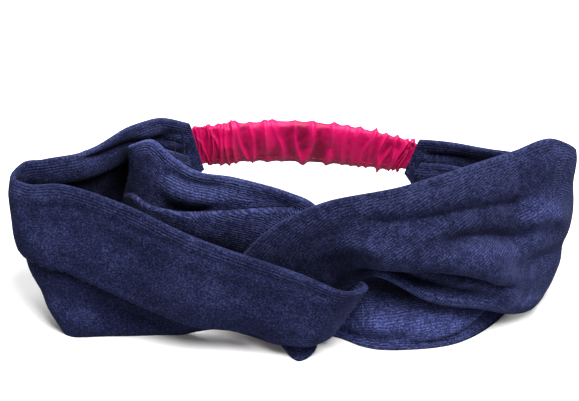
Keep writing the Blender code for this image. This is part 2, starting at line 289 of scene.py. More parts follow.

# painted light and shade along the strips: painted highlights along rims and swells, painted shade in creases
LEFT_PAINTED_BANDS = (
    PaintedBand(((5, 0.64), (6, 0.62), (7, 0.59), (8, 0.52), (9, 0.43), (10, 0.25), (11, 0.06)), 1.6, 0.55,
          (5.4, 6.6, 10.0, 11.0)),
    PaintedBand(((5, 0.58), (6, 0.56), (7, 0.53), (8, 0.45), (9, 0.36), (10, 0.18), (11, 0.01)), 2.2, -0.35,
          (5.4, 6.6, 9.6, 10.6)),
)
RIGHT_PAINTED_BANDS = (
    PaintedBand(((15, 0.55), (16, 0.60), (17, 0.62)), 4.2, -0.5, (14.4, 15.6, 16.4, 17.2)),
    PaintedBand(((17, 0.60), (18.4, 0.60)), 6.0, 0.45, (17.0, 17.5, 17.8, 18.3)),
    PaintedBand(((14, 0.20), (14.5, 0.33), (15, 0.41), (15.5, 0.36), (16, 0.29), (17.2, 0.19)), 1.2, 0.5,
          (14.0, 14.6, 16.0, 16.8)),
    PaintedBand(((15, 0.32), (16, 0.22)), 2.8, -0.35, (14.9, 15.2, 15.9, 16.4)),
    PaintedBand(((13, 0.015), (18, 0.02)), 1.4, 0.6, (13.5, 14.2, 16.4, 17.4)),
    PaintedBand(((5.5, 0.17), (9, 0.17)), 4.0, 0.45, (5.6, 6.6, 8.2, 9.2)),
    PaintedBand(((7, 0.07), (9, 0.09)), 2.2, -0.5, (7.2, 7.8, 8.3, 8.8)),
    PaintedBand(((6, 0.40), (7, 0.44), (8, 0.50)), 6.0, -0.9, (5.8, 6.4, 7.4, 8.3)),
    PaintedBand(((12.8, 0.50), (14.3, 0.26)), 9.0, -0.42, (12.3, 12.9, 13.8, 14.8)),
    PaintedBand(((13.5, 0.09), (14.3, 0.04)), 3.5, -0.7, (13.2, 13.6, 13.95, 14.3)),
)


def arc_shares(keys):
    """The share of a smooth curve's length at each of its keys."""
    steps = np.linalg.norm(np.diff(keys, axis=0), axis=1)
    return np.concatenate([[0], np.cumsum(steps)]) / steps.sum()


def hermite(t, gap, start, end, start_slope, end_slope):
    """The cubic with these values and slopes at its ends, at shares t of the gap between them."""
    return (
        (2 * t**3 - 3 * t**2 + 1) * start
        + (t**3 - 2 * t**2 + t) * gap * start_slope
        + (3 * t**2 - 2 * t**3) * end
        + (t**3 - t**2) * gap * end_slope
    )


def spline(keys, share):
    """Points at these shares of the length of a smooth curve through the keys, one key a row."""
    keys = np.asarray(keys, float)
    at = arc_shares(keys)
    slopes = np.gradient(keys, at, axis=0)
    share = np.clip(share, 0, 1)
    i = np.clip(np.searchsorted(at, share, side="right") - 1, 0, len(keys) - 2)
    gap = (at[i + 1] - at[i])[:, None]
    t = (share - at[i])[:, None] / gap
    return hermite(t, gap, keys[i], keys[i + 1], slopes[i], slopes[i + 1])


def unit(vectors):
    return vectors / np.maximum(np.linalg.norm(vectors, axis=-1, keepdims=True), 1e-12)


def smooth(t):
    t = np.clip(t, 0, 1)
    return t * t * (3 - 2 * t)


def walk(points):
    """How far each point lies along the line through them all."""
    return np.concatenate([[0], np.cumsum(np.linalg.norm(np.diff(points, axis=0), axis=1))])


def envelope(number, span):
    """1 between the middle two station numbers of span, easing to 0 at its outer two."""
    start, full, last, end = span
    rise = smooth((number - start) / max(full - start, 1e-6))
    fall = smooth((end - number) / max(end - last, 1e-6))
    return rise * fall


def line_at(line, number):
    """A fold's share across at these station numbers: straight between two places, smooth through more."""
    places, shares = np.array(line, float).T
    if len(line) < 3:
        return np.interp(number, places, shares)
    slopes = np.gradient(shares, places)
    i = np.clip(np.searchsorted(places, number, side="right") - 1, 0, len(line) - 2)
    gap = places[i + 1] - places[i]
    t = np.clip((number - places[i]) / gap, 0, 1)
    return hermite(t, gap, shares[i], shares[i + 1], slopes[i], slopes[i + 1])


def lattice_noise(u, v, cell_u, cell_v, seed):
    """Smooth noise from -1 to 1 over coordinates u and v, with cells of these sizes."""
    grid = np.random.default_rng(seed).uniform(-1, 1, (LATTICE, LATTICE))
    a, b = u / cell_u, v / cell_v
    i, j = np.floor(a).astype(int), np.floor(b).astype(int)
    s, t = smooth(a - i), smooth(b - j)
    i0, i1, j0, j1 = i % LATTICE, (i + 1) % LATTICE, j % LATTICE, (j + 1) % LATTICE
    near = grid[i0, j0] * (1 - t) + grid[i0, j1] * t
    far = grid[i1, j0] * (1 - t) + grid[i1, j1] * t
    return near * (1 - s) + far * s


def grid_normals(points):
    """Unit normals of a grid of points, columns along the first index and rows across."""
    return unit(np.cross(np.gradient(points, axis=0), np.gradient(points, axis=1)))


def tube_quads(index, flip=False):
    """The faces between the columns of a tube, from its grid of point numbers, whose rows go right round."""
    following = np.roll(index, -1, axis=1)
    corners = [index[:-1], following[:-1], following[1:], index[1:]]
    if flip:
        corners = corners[:1] + corners[:0:-1]
    return np.stack(corners, axis=-1).reshape(-1, 4)


class Strip:
    """A velour strip's middle surface: an even grid of points, with cloth coordinates along and across."""

    def __init__(self, stations, folds, pile, painted_bands, seed):
        keys = np.array([[*s.top, *s.bottom, s.belly] for s in stations])
        share = np.linspace(0, 1, STRIP_COLUMNS)
        rails = spline(keys, share)
        self.number = np.interp(share, arc_shares(keys), np.arange(len(keys)))
        top, bottom, bellies = rails[:, :3], rails[:, 3:6], rails[:, 6]
        along = np.gradient((top + bottom) / 2, axis=0)
        self.outward = unit(np.cross(unit(along), unit(top - bottom)))
        self.up = unit(top - bottom)
        self.height = np.linalg.norm(top - bottom, axis=1)
        self.length = np.concatenate([[0], np.cumsum(np.linalg.norm(along[1:], axis=1))])
        up, depth = self.folded(folds, bellies)
        up, depth = self.rippled(up, depth, seed, len(stations) - 1)
        across, depth, painted_shading, from_top, from_bottom = self.resample(up, depth, self.paint_bands(painted_bands))
        self.points = (
            bottom[:, None] + self.up[:, None] * across[..., None] + self.outward[:, None] * depth[..., None]
        )
        self.lay_pile_and_light(pile, painted_shading, from_top, from_bottom)

    def lay_pile_and_light(self, pile, painted_shading, from_top, from_bottom):
        """The strength of the ribs, their distance across the cloth, and the painted light and shade of each
        point.
        """
        at, *columns = zip(*pile)
        slant, self.strength, upper, lower = (np.interp(self.number, at, column) for column in columns)
        part = smooth(from_top / (from_top + from_bottom))
        # painted light and shade: the brightness drawn from the upper edge to the lower, times the painted
        # bands
        self.painted_light = painted_shading * (upper[:, None] * (1 - part) + lower[:, None] * part)
        self.ribs = -from_top - np.cumsum(slant * np.gradient(self.length))[:, None]
        self.rim = np.minimum(from_top, from_bottom)

    def from_line(self, mark):
        """How many widths each column's profile rows lie above a mark's line, and how strong the mark is
        in each column."""
        share = np.linspace(0, 1, PROFILE_ROWS)[None, :]
        place = line_at(mark.line, self.number)[:, None]
        return (share - place) * self.height[:, None] / mark.width, envelope(self.number, mark.span)[:, None]

    def folded(self, folds, bellies):
        """Height up the strip and depth off it with its belly and its folds, for every column and row."""
        share = np.linspace(0, 1, PROFILE_ROWS)[None, :]
        up = share * self.height[:, None]
        depth = 4 * share * (1 - share) * bellies[:, None]
        sharpness, reach = 1.4, 7  # of the step between a pleat's layers, and the widths that it fades over
        for fold in folds:
            x, amount = self.from_line(fold)
            if isinstance(fold, Pleat):
                up = up - amount * fold.lap * fold.width * x * np.exp(-x * x)
                depth = depth + amount * fold.step / 2 * np.tanh(sharpness * x) * np.exp(-((x / reach) ** 2))
            else:
                depth = depth + amount * fold.height * np.exp(-x * x)
        return up, depth

    def rippled(self, up, depth, seed, last):
        """The same profiles with gathers near both ends and the cloth's own waves between."""
        share = np.linspace(0, 1, PROFILE_ROWS)[None, :]
        number, height = self.number[:, None], self.height[:, None]
        calm = smooth(share * height / EDGE_CALM) * smooth((1 - share) * height / EDGE_CALM)
        centre, spread, size = 1.1, 0.7, 0.9  # of the gathers: stations from the end, and their height
        for end, phase in ((0.0, 0.3), (float(last), 1.9)):
            near = np.exp(-(((np.abs(number - end) - centre) / spread) ** 2))
            wave = np.sin(2 * math.pi * (2.2 * share + 0.5 * share**2) + phase + 1.3 * (number - end))
            depth = depth + size * near * wave * calm
        length, across = self.length[:, None], share * height
        calm = calm * smooth(np.minimum(length, self.length[-1] - length) / END_CALM)
        for layer, (size, long, wide) in enumerate(SURFACE_WAVES):
            depth = depth + size * lattice_noise(length, across, long, wide, seed + layer) * calm
        size, long, wide = EDGE_WAVE
        up = up + size * lattice_noise(length, across, long, wide, seed + len(SURFACE_WAVES))
        return up, depth

    def paint_bands(self, painted_bands):
        """The painted light and shade of the bands, as a brightness factor for every column and profile row.
        """
        painted_shading = np.ones((STRIP_COLUMNS, PROFILE_ROWS))
        for painted_band in painted_bands:
            x, amount = self.from_line(painted_band)
            painted_shading = painted_shading * (1 + painted_band.amount * amount * np.exp(-x * x))
        return painted_shading

    def resample(self, up, depth, painted_shading):
        """The same profiles with their rows at even steps along the cloth, and the cloth's distance there
        from its upper and its lower edge."""
        steps = np.hypot(np.diff(up), np.diff(depth))
        walked = np.concatenate([np.zeros((STRIP_COLUMNS, 1)), np.cumsum(steps, axis=1)], axis=1)
        from_bottom = np.linspace(0, 1, STRIP_ROWS)[None, :] * walked[:, -1:]
        even = [
            np.stack([np.interp(*column) for column in zip(from_bottom, walked, profile)])
            for profile in (up, depth, painted_shading)
        ]
        return *even, from_bottom[:, -1:] - from_bottom, from_bottom


def shell_mesh(name, strip):
    """A strip's closed cloth, round its grid of middle points, with half-round edges."""
    points, normals = strip.points, grid_normals(strip.points)
    half = VELOUR_THICKNESS / 2
    edge = np.linspace(0, math.pi, EDGE_ROWS + 2)[1:-1]
    outwards = unit(points[:, -1] - points[:, -2])
    downwards = unit(points[:, 0] - points[:, 1])
    front = points + normals * half
    back = points[:, ::-1] - normals[:, ::-1] * half
    top = [
        points[:, -1] + half * (math.cos(a) * normals[:, -1] + math.sin(a) * outwards) for a in edge
    ]
    bottom = [
        points[:, 0] + half * (-math.cos(a) * normals[:, 0] + math.sin(a) * downwards) for a in edge
    ]
    ring = np.concatenate([front, np.stack(top, 1), back, np.stack(bottom, 1)], axis=1)
    ring[..., 2] = np.maximum(ring[..., 2], FLOOR_CLEARANCE)
    round_edge = half * (edge - math.pi / 2)[None, :]

    def around(values, past_top=0.0, past_bottom=0.0):
        """A value of the grid on the front, over the top edge, on the back and under the bottom edge."""
        over = values[:, -1:] + 0 * round_edge + past_top
        under = values[:, :1] + 0 * round_edge + past_bottom
        return np.concatenate([values, over, values[:, ::-1], under], axis=1)

    rib = around(strip.ribs, round_edge + half, -round_edge - half)
    rim = around(strip.rim)
    strength = np.repeat(strip.strength[:, None], ring.shape[1], 1)
    index = np.arange(rib.size).reshape(rib.shape)
    caps = [index[0, ::-1].tolist(), index[-1].tolist()]
    mesh = bpy.data.meshes.new(name)
    mesh.from_pydata((ring.reshape(-1, 3) * MM).tolist(), [], tube_quads(index).tolist() + caps)
    set_cloth(mesh, np.stack([strength, rib, rim], axis=-1))
    # the painted light and shade, per point, for the velour's colour
    painted_light_layer = mesh.attributes.new("painted_light", "FLOAT", "POINT")
    painted_light_layer.data.foreach_set("value", around(strip.painted_light).astype(np.float32).ravel())
    mesh.shade_smooth()
    return mesh


def set_cloth(mesh, values):
    """Stores each point's cloth coordinates in millimetres, for the materials."""
    attribute = mesh.attributes.new("cloth", "FLOAT_VECTOR", "POINT")
    attribute.data.foreach_set("vector", values.astype(np.float32).ravel())


def add_piece(name, mesh, surface, node):
    made = bpy.data.objects.new(name, mesh)
    mesh.materials.append(surface)
    bpy.context.scene.collection.objects.link(made)
    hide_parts(node)
    return made


# ---------------------------------------------------------------- materials


class Nodes:
    """Short calls for building a node material."""

    def __init__(self, name):
        self.material = bpy.data.materials.new(name)
        self.material.use_nodes = True
        self.tree = self.material.node_tree
        self.shader = self.tree.nodes["Principled BSDF"]

    def add(self, kind, **settings):
        node = self.tree.nodes.new(kind)
        for key, value in settings.items():
            setattr(node, key, value)
        return node

    def feed(self, socket, value):
        """Puts a number, a colour or another node's output into a socket."""
        if isinstance(value, (int, float)):
            socket.default_value = value
        elif isinstance(value, tuple):
            socket.default_value = (*value, 1)
        else:
            self.tree.links.new(value, socket)

    def surface(self, **values):
        """Feeds the shader's inputs, named with _ for a space."""
        for name, value in values.items():
            self.feed(self.shader.inputs[name.replace("_", " ")], value)

    def math(self, operation, *values):
        node = self.add("ShaderNodeMath", operation=operation)
        for socket, value in zip(node.inputs, values):
            self.feed(socket, value)
        return node.outputs[0]

    def sine(self, place, pitch):
        return self.math("SINE", self.math("MULTIPLY", place, 2 * math.pi / pitch))

    def wave(self, place, pitch):
        """The sine, from 0 to 1."""
        return self.math("MULTIPLY", self.math("ADD", self.sine(place, pitch), 1), 0.5)

    def spread(self, value, width):
        """A value from 0 to 1 moved to lie evenly about 0, over this width."""
        return self.math("MULTIPLY", self.math("SUBTRACT", value, 0.5), width)

    def weigh(self, *parts):
        """The sum of outputs, each times its weight."""
        total = None
        for value, weight in parts:
            term = self.math("MULTIPLY", value, weight)
            total = term if total is None else self.math("ADD", total, term)
        return total

    def plus(self, base, value, weight):
        return self.math("ADD", base, self.math("MULTIPLY", value, weight))

    def noise(self, vector, scale, detail=2.0, roughness=0.5):
        node = self.add("ShaderNodeTexNoise")
        inputs = {"Vector": vector, "Scale": scale, "Detail": detail, "Roughness": roughness}
        for name, value in inputs.items():
            self.feed(node.inputs[name], value)
        return node.outputs["Fac"]

    def ramp(self, fac, *stops):
        node = self.add("ShaderNodeValToRGB")
        ramp = node.color_ramp
        while len(ramp.elements) < len(stops):
            ramp.elements.new(0.5)
        for element, (place, colour) in zip(ramp.elements, stops):
            element.position = place
            element.color = (*colour, 1)
        self.feed(node.inputs[0], fac)
        return node.outputs["Color"]

    def mix(self, fac, a, b, blend="MIX"):
        node = self.add("ShaderNodeMix", data_type="RGBA", blend_type=blend)
        first, second = [s for s in node.inputs if s.type == "RGBA"]
        for socket, value in ((node.inputs[0], fac), (first, a), (second, b)):
            self.feed(socket, value)
        return next(s for s in node.outputs if s.type == "RGBA")

    def bump(self, height, distance, strength=1.0, normal=None):
        node = self.add("ShaderNodeBump")
        inputs = {"Height": height, "Distance": distance, "Strength": strength}
        for name, value in inputs.items():
            self.feed(node.inputs[name], value)
        if normal is not None:
            self.feed(node.inputs["Normal"], normal)
        return node.outputs["Normal"]

    def attribute(self, name, output="Vector"):
        return self.add("ShaderNodeAttribute", attribute_name=name).outputs[output]

    def cloth(self):
        """The three cloth coordinates that set_cloth stored."""
        node = self.add("ShaderNodeSeparateXYZ")
        self.feed(node.inputs[0], self.attribute("cloth"))
        return node.outputs

    def openness(self, distance):
        """How much a point sees past its own object within this distance, 0 to 1."""
        node = self.add("ShaderNodeAmbientOcclusion", samples=6, only_local=True)
        self.feed(node.inputs["Distance"], distance)
        return node.outputs["AO"]

    def position(self):
        return self.add("ShaderNodeTexCoord").outputs["Object"]


def grey(value):
    return (value, value, value)


def velour():
    """Ribbed velour: a short dark pile with a painted blue sheen where it turns away, in broken ribs that run
    along the strip, closer welts beside its edges, painted shade in its hollows and painted light on the
    strips."""
    n = Nodes("navy_velour")
    place = n.position()
    strength, across, rim = n.cloth()
    drift = n.spread(n.noise(place, 70, 3), 2.2)
    jitter = n.spread(n.noise(place, 700, 2), 0.9)
    rib = n.wave(n.math("ADD", n.math("ADD", across, drift), jitter), RIB_PITCH)
    broken = n.ramp(n.noise(place, 260, 3, 0.6), (0.36, grey(0.1)), (0.62, grey(1)))
    rib = n.math("MULTIPLY", n.math("MULTIPLY", rib, broken), strength)
    pile = n.noise(place, 2600, 3, 0.7)
    tufts = n.noise(place, 1300, 3, 0.7)
    crushed = n.noise(place, 190, 4, 0.62)
    broad = n.noise(place, 45, 3, 0.55)
    near_edge = n.math("MAXIMUM", n.math("SUBTRACT", 1, n.math("MULTIPLY", rim, 1 / WELT_REACH)), 0)
    full = n.math("MINIMUM", n.math("MULTIPLY", near_edge, 2.0), 1)
    welt = n.math("MULTIPLY", n.wave(rim, WELT_PITCH), full)

    shade = n.weigh((rib, 0.18), (tufts, 0.64), (crushed, 0.14), (broad, 0.20), (welt, 0.04))
    colour = n.ramp(
        shade,
        (0.38, (0.0022, 0.0028, 0.0115)),
        (0.53, (0.0140, 0.0172, 0.0570)),
        (0.67, (0.0480, 0.0570, 0.1560)),
    )
    # painted sheen: a paler blue mixed into the colour where the surface turns away from the view
    turned = n.add("ShaderNodeLayerWeight")
    n.feed(turned.inputs["Blend"], 0.35)
    painted_sheen = n.math("POWER", turned.outputs["Facing"], 2.6)
    colour = n.mix(n.math("MULTIPLY", painted_sheen, 0.5), colour, (0.060, 0.070, 0.185))
    # painted shade: the colour darkened towards black where the strip's own folds close round it
    deep = n.ramp(n.openness(0.07), (0.24, grey(0.02)), (0.5, grey(0.55)), (0.72, grey(1)))
    colour = n.mix(1.0, colour, deep, "MULTIPLY")
    # painted light and shade: the strip's stored brightness factors, brighter on rims and swells, darker in
    # creases and under overhangs
    colour = n.mix(1.0, colour, n.attribute("painted_light", "Color"), "MULTIPLY")
    normal = n.bump(crushed, 0.0011, 0.8)
    for height, distance, amount in (
        (welt, 0.0003, 0.8), (rib, 0.00028, 0.9), (tufts, 0.00040, 0.8), (pile, 0.00014, 0.8),
    ):
        normal = n.bump(height, distance, amount, normal)
    n.surface(
        Base_Color=colour, Roughness=n.plus(0.78, crushed, 0.2), Specular_IOR_Level=0.06, Sheen_Weight=0.10,
        Sheen_Roughness=0.38, Sheen_Tint=(0.40, 0.46, 0.95), Normal=normal,
    )
    return n.material


def satin():
    """Crimson satin: a fine weave with a soft gloss, and a painted highlight along the crests of its gathers
    with painted shade between them.
    """
    n = Nodes("crimson_satin")
    place = n.position()
    along, around, crest = n.cloth()
    weave = n.math("MULTIPLY", n.sine(along, SATIN_PITCHES[0]), n.sine(around, SATIN_PITCHES[1]))
    crinkle = n.noise(place, 300, 3, 0.5)
    slub = n.noise(place, 60, 3, 0.6)
    # painted highlight and shade: the crests' height lightens the colour on the gathers' ridges and darkens
    # it in the folds between
    colour = n.ramp(
        n.weigh((slub, 0.55), (crinkle, 0.2), (crest, 0.20)),
        (0.20, (0.22, 0.0008, 0.034)),
        (0.34, (0.58, 0.0030, 0.102)),
        (0.80, (0.60, 0.0160, 0.116)),
    )
    n.surface(
        Base_Color=colour, Roughness=n.plus(0.34, crinkle, 0.16), Specular_IOR_Level=0.5,
        Specular_Tint=(1.0, 0.55, 0.66), Metallic=0.10,
        Normal=n.bump(weave, 0.00003, 0.5, n.bump(crinkle, 0.0003, 0.5)),
    )
    return n.material


def elastic_weave():
    """Braided white elastic: raised cords along it, crossed by finer rubber ribs."""
    n = Nodes("white_elastic")
    along, across, _ = n.cloth()
    cords = n.math("ABSOLUTE", n.math("SINE", n.math("MULTIPLY", across, math.pi / CORD_PITCH)))
    picks = n.math("ABSOLUTE", n.math("SINE", n.math("MULTIPLY", along, math.pi / PICK_PITCH)))
    weave = n.math("MULTIPLY", cords, picks)
    dirt = n.noise(n.position(), 260, 3)
    colour = n.ramp(
        n.weigh((weave, 0.6), (dirt, 0.4)), (0.1, (0.42, 0.41, 0.40)), (0.7, (0.80, 0.79, 0.77)),
    )
    n.surface(Base_Color=colour, Roughness=n.plus(0.6, dirt, 0.3), Normal=n.bump(weave, 0.0003, 0.9))
    return n.material


def thread_finish(name, dark, light):
    """Twisted polyester thread: slanting plies with a slight gloss."""
    n = Nodes(name)
    along, around, _ = n.cloth()
    slant = n.math("MULTIPLY", around, 3)
    ply = n.math("SINE", n.math("ADD", n.math("MULTIPLY", along, 2 * math.pi / PLY_PITCH), slant))
    fuzz = n.noise(n.position(), 1800, 2)
    colour = n.ramp(n.weigh((ply, 0.25), (fuzz, 0.8)), (0.2, dark), (0.8, light))
    n.surface(
        Base_Color=colour, Roughness=n.plus(0.4, fuzz, 0.3), Sheen_Weight=0.03,
        Normal=n.bump(ply, 0.0001, 0.8),
    )
    return n.material


# ---------------------------------------------------------------- threads


def stitch_row(name, path, lift, radius, surface, node):
    """Single stitches laid along a path of surface points and dipping into the cloth at both ends.
    lift is the surface's unit normal at each point."""
    walked = walk(path)
    period = STITCH_LENGTH + STITCH_GAP
    turn = np.linspace(0, 2 * math.pi, STITCH_SIDES, endpoint=False)
    t = np.linspace(0, 1, STITCH_RINGS)
    height = radius * (1.5 * np.sin(math.pi * t) - 0.7)  # an arch that starts and ends under the surface
    width = radius * np.maximum(np.sin(math.pi * (0.06 + 0.88 * t)), 0.2) ** 0.5  # narrower at both ends
    verts, faces, cloth = [], [], []
    for k in range(max(int(walked[-1] / period), 1)):
        span = np.linspace(0, STITCH_LENGTH, STITCH_RINGS) + k * period
        at = np.stack([np.interp(span, walked, axis) for axis in path.T], axis=1)
        up = unit(np.stack([np.interp(span, walked, axis) for axis in lift.T], axis=1))
        side = unit(np.cross(unit(np.gradient(at, axis=0)), up))
        centre = at + up * height[:, None]
        centre[:, 2] = np.maximum(centre[:, 2], radius + STITCH_CLEARANCE)
        index = len(verts) + np.arange(STITCH_RINGS * STITCH_SIDES).reshape(STITCH_RINGS, STITCH_SIDES)
        for r in range(STITCH_RINGS):
            for a in turn:
                verts.append(centre[r] + width[r] * (math.cos(a) * side[r] + math.sin(a) * up[r]))
                cloth.append((span[r], a, 0))
        faces += tube_quads(index).tolist() + [index[0, ::-1].tolist(), index[-1].tolist()]
    mesh = bpy.data.meshes.new(name)
    mesh.from_pydata((np.array(verts) * MM).tolist(), [], faces)
    set_cloth(mesh, np.array(cloth))
    mesh.shade_smooth()
    return add_piece(name, mesh, surface, node)


# ---------------------------------------------------------------- strips


def velour_strip(side, stations, folds, pile, painted_bands, seed, surface):
    """One strip of cloth."""
    strip = Strip(stations, folds, pile, painted_bands, seed)
    name = f"{side}_velour_strip"
    piece = add_piece(name, shell_mesh(name, strip), surface, f"{side}_strip")
    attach(piece, f"{side}_loop")
    return strip


def strip_stitches(side, strip, surface):
    """The strip's long seam, the row of stitches through its ends and the gathering thread beside it."""
    normals = grid_normals(strip.points)
    half = VELOUR_THICKNESS / 2
    row = 2  # the seam's place, in rows from the lower edge
    used = slice(int(0.03 * STRIP_COLUMNS), int(0.97 * STRIP_COLUMNS))
    seam = strip.points[used, row] - normals[used, row] * half
    rows = [("seam_stitches", "strip_seam", seam, -normals[used, row])]
    for label, node, column in (
        ("end_stitches", "end_seam", 3),
        ("gathering_stitches", "gathering_thread", 9),
    ):
        both = [column, -1 - column]  # near the strip's start and as near its end
        first, second = strip.points[both] + normals[both] * half
        path = np.concatenate([first, second[::-1]])
        lift = np.concatenate([normals[both[0]], normals[both[1]][::-1]])
        rows.append((label, node, path, lift))
    for label, node, path, lift in rows:
        piece = stitch_row(
            f"{side}_{label}", path, lift, STRIP_THREAD_RADIUS, surface, f"{side}_{node}",
        )
        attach(piece, f"{side}_loop")


# ---------------------------------------------------------------- casing


def casing_frames(share):
    """Centre, height, depth, across and up of the casing at these shares of its length."""
    rows = spline([[*s.centre, s.height, s.depth] for s in CASING], share)
    centre = rows[:, :3]
    along = unit(np.gradient(centre, axis=0))
    across = unit(np.cross(along, (0, 0, 1)))
    up = np.cross(across, along)
    return centre, rows[:, 3], rows[:, 4], across, up


def flat_oval(height, depth, count):
    """Points and outward normals evenly round a flat oval, as rows of (depth, height), and its girth."""
    turn = np.linspace(0, 2 * math.pi, 1441)
    wide = np.sign(np.cos(turn)) * np.abs(np.cos(turn)) ** 0.8 * depth / 2
    tall = np.sign(np.sin(turn)) * np.abs(np.sin(turn)) ** 0.85 * height / 2
    walked = np.concatenate([[0], np.cumsum(np.hypot(np.diff(wide), np.diff(tall)))])
    even = np.linspace(0, walked[-1], count, endpoint=False)
    points = np.stack([np.interp(even, walked, wide), np.interp(even, walked, tall)], axis=1)
    step = unit(np.roll(points, -1, axis=0) - np.roll(points, 1, axis=0))
    return points, np.stack([step[:, 1], -step[:, 0]], axis=1), walked[-1]


def ruching(length, place, turn, seed):
    """How far the satin stands out at each place along and turn round the casing: gathers that are close
    together at both ends and far apart in the middle, each fading in and out round the tube."""
    rng = np.random.default_rng(seed)
    out = np.zeros(np.broadcast(place, turn).shape)
    x = 1.0
    knots = np.linspace(0, 1, 9)  # places round the tube where a gather's strength is drawn
    while x < length - 0.5:
        middle = 1 - abs(2 * x / length - 1)
        x += rng.uniform(1.5, 2.4) + 7.0 * middle**2.2 * rng.uniform(0.2, 1.5)
        weights = rng.uniform(0.1, 1.0, len(knots))
        weights[-1] = weights[0]
        strength = np.interp(turn / (2 * math.pi) % 1, knots, weights)
        lean = rng.uniform(-1.6, 1.6) * np.sin(turn) + rng.uniform(-0.7, 0.7) * np.cos(2 * turn)
        width = rng.uniform(0.6, 0.9) * (1 + 0.7 * middle)
        t = (place - x - lean) / width
        skew = rng.uniform(-0.4, 0.4)
        ridge = np.exp(-np.abs(t * (1 + skew * np.tanh(t))) ** 1.35)
        out += rng.uniform(1.8, 3.0) * strength * ridge
    flatter_at_rims = 0.45 + 0.55 * np.abs(np.cos(turn)) ** 0.5
    return (out - 0.7) * flatter_at_rims


def gather_cloth(name, points, form, extra, frames, bending):
    """The grid of points (a tube, open at both ends) after a cloth that is longer by this share is pushed
    together to its length by its ends, over a form that stays still. Distances are millimetres, and one unit
    of the simulation is 100 of them."""
    scale = 0.01
    index = np.arange(points[..., 0].size).reshape(points.shape[:2])
    quads = tube_quads(index).tolist()
    mesh = bpy.data.meshes.new(name)
    middle = points[..., 0].mean()
    long = points.copy()
    long[..., 0] = middle + (long[..., 0] - middle) * (1 + extra)
    mesh.from_pydata((long.reshape(-1, 3) * scale).tolist(), [], quads)
    cloth = bpy.data.objects.new(name, mesh)
    cloth.shape_key_add(name="long")
    short = cloth.shape_key_add(name="short")
    short.data.foreach_set("co", (points * scale).astype(np.float32).ravel())
    for value, frame_number in ((0, 1), (1, frames - 3)):
        short.value = value
        short.keyframe_insert("value", frame=frame_number)
    inner = bpy.data.meshes.new(name + "_form")
    inner.from_pydata((form.reshape(-1, 3) * scale).tolist(), [], quads)
    core = bpy.data.objects.new(name + "_form", inner)
    scene = bpy.context.scene
    for o in (cloth, core):
        scene.collection.objects.link(o)
    core.modifiers.new("Collision", "COLLISION")
    core.collision.thickness_outer = 0.002
    core.collision.cloth_friction = 0
    held = cloth.vertex_groups.new(name="held")
    held.add(index[[0, 1, -2, -1]].ravel().tolist(), 1.0, "REPLACE")
    modifier = cloth.modifiers.new("Cloth", "CLOTH")
    settings = modifier.settings
    settings.quality = 7
    settings.mass = 0.01
    settings.tension_stiffness = settings.compression_stiffness = 15
    settings.shear_stiffness = 5
    settings.bending_stiffness = bending
    settings.tension_damping = settings.compression_damping = settings.shear_damping = 1
    settings.vertex_group_mass = "held"
    settings.effector_weights.gravity = 0
    modifier.collision_settings.distance_min = 0.003
    modifier.point_cache.frame_start = 1
    modifier.point_cache.frame_end = frames + 1
    scene.frame_start, scene.frame_end = 1, frames + 1
    for number in range(1, frames + 1):
        scene.frame_set(number)
    evaluated = cloth.evaluated_get(bpy.context.evaluated_depsgraph_get())
    result = evaluated.to_mesh()
    moved = np.empty(len(result.vertices) * 3, np.float32)
    result.vertices.foreach_get("co", moved)
    evaluated.to_mesh_clear()
    bpy.data.objects.remove(cloth)
    bpy.data.objects.remove(core)
    scene.frame_set(1)
    return moved.reshape(points.shape).astype(float) / scale


def straight_tube(length, share):
    """The ruched tube before it is bent: its plain shape, its gathered shape, the height of its crests and
    the plain tube's girth. Points are rows of (place along, depth, height)."""
    oval, normals, girth = flat_oval(CASING_HEIGHT, CASING_DEPTH, CASING_SIDES)
    turn = (np.arange(CASING_SIDES) / CASING_SIDES * 2 * math.pi)[None, :]
    place = (share * length)[:, None]
    crests = ruching(length, place, turn, 11)
    bare_end, rise = 3.5, 4
    crests *= smooth((np.minimum(place, length - place) - bare_end) / rise)
    plain = np.empty((CASING_COLUMNS, CASING_SIDES, 3))
    plain[..., 0] = place
    plain[..., 1:] = oval
    tube = plain.copy()
    tube[..., 1:] += normals * crests[..., None]
    form = plain * (1, 0.45, 0.85)
    furthest = 2.5  # that the simulation may move a point
    shift = gather_cloth("casing", tube, form, 0.14, 18, 0.1) - tube
    far = np.linalg.norm(shift, axis=-1, keepdims=True)
    tube = tube + shift * np.minimum(1, furthest / np.maximum(far, 1e-9))
    return plain, tube, crests, girth


def bent_tube(plain, tube, share, length):
    """The gathered tube fitted to the casing's sections and bent along its curve."""
    centre, heights, depths, across, up = casing_frames(share)
    at = np.clip(tube[..., 0] / length, 0, 1)

    def along_curve(values):
        columns = [np.interp(at.ravel(), share, column) for column in values.T]
        return np.stack(columns, axis=1).reshape(*at.shape, 3)

    deep = plain[..., 1] * (depths / CASING_DEPTH)[:, None] + tube[..., 1] - plain[..., 1]
    tall = plain[..., 2] * (heights / CASING_HEIGHT)[:, None] + tube[..., 2] - plain[..., 2]
    points = along_curve(centre) + along_curve(across) * deep[..., None] + along_curve(up) * tall[..., None]
    points[..., 0] += tall * np.interp(at, (0, 0.5, 1), (CASING_LEANS[0], 0, CASING_LEANS[1]))
    return points


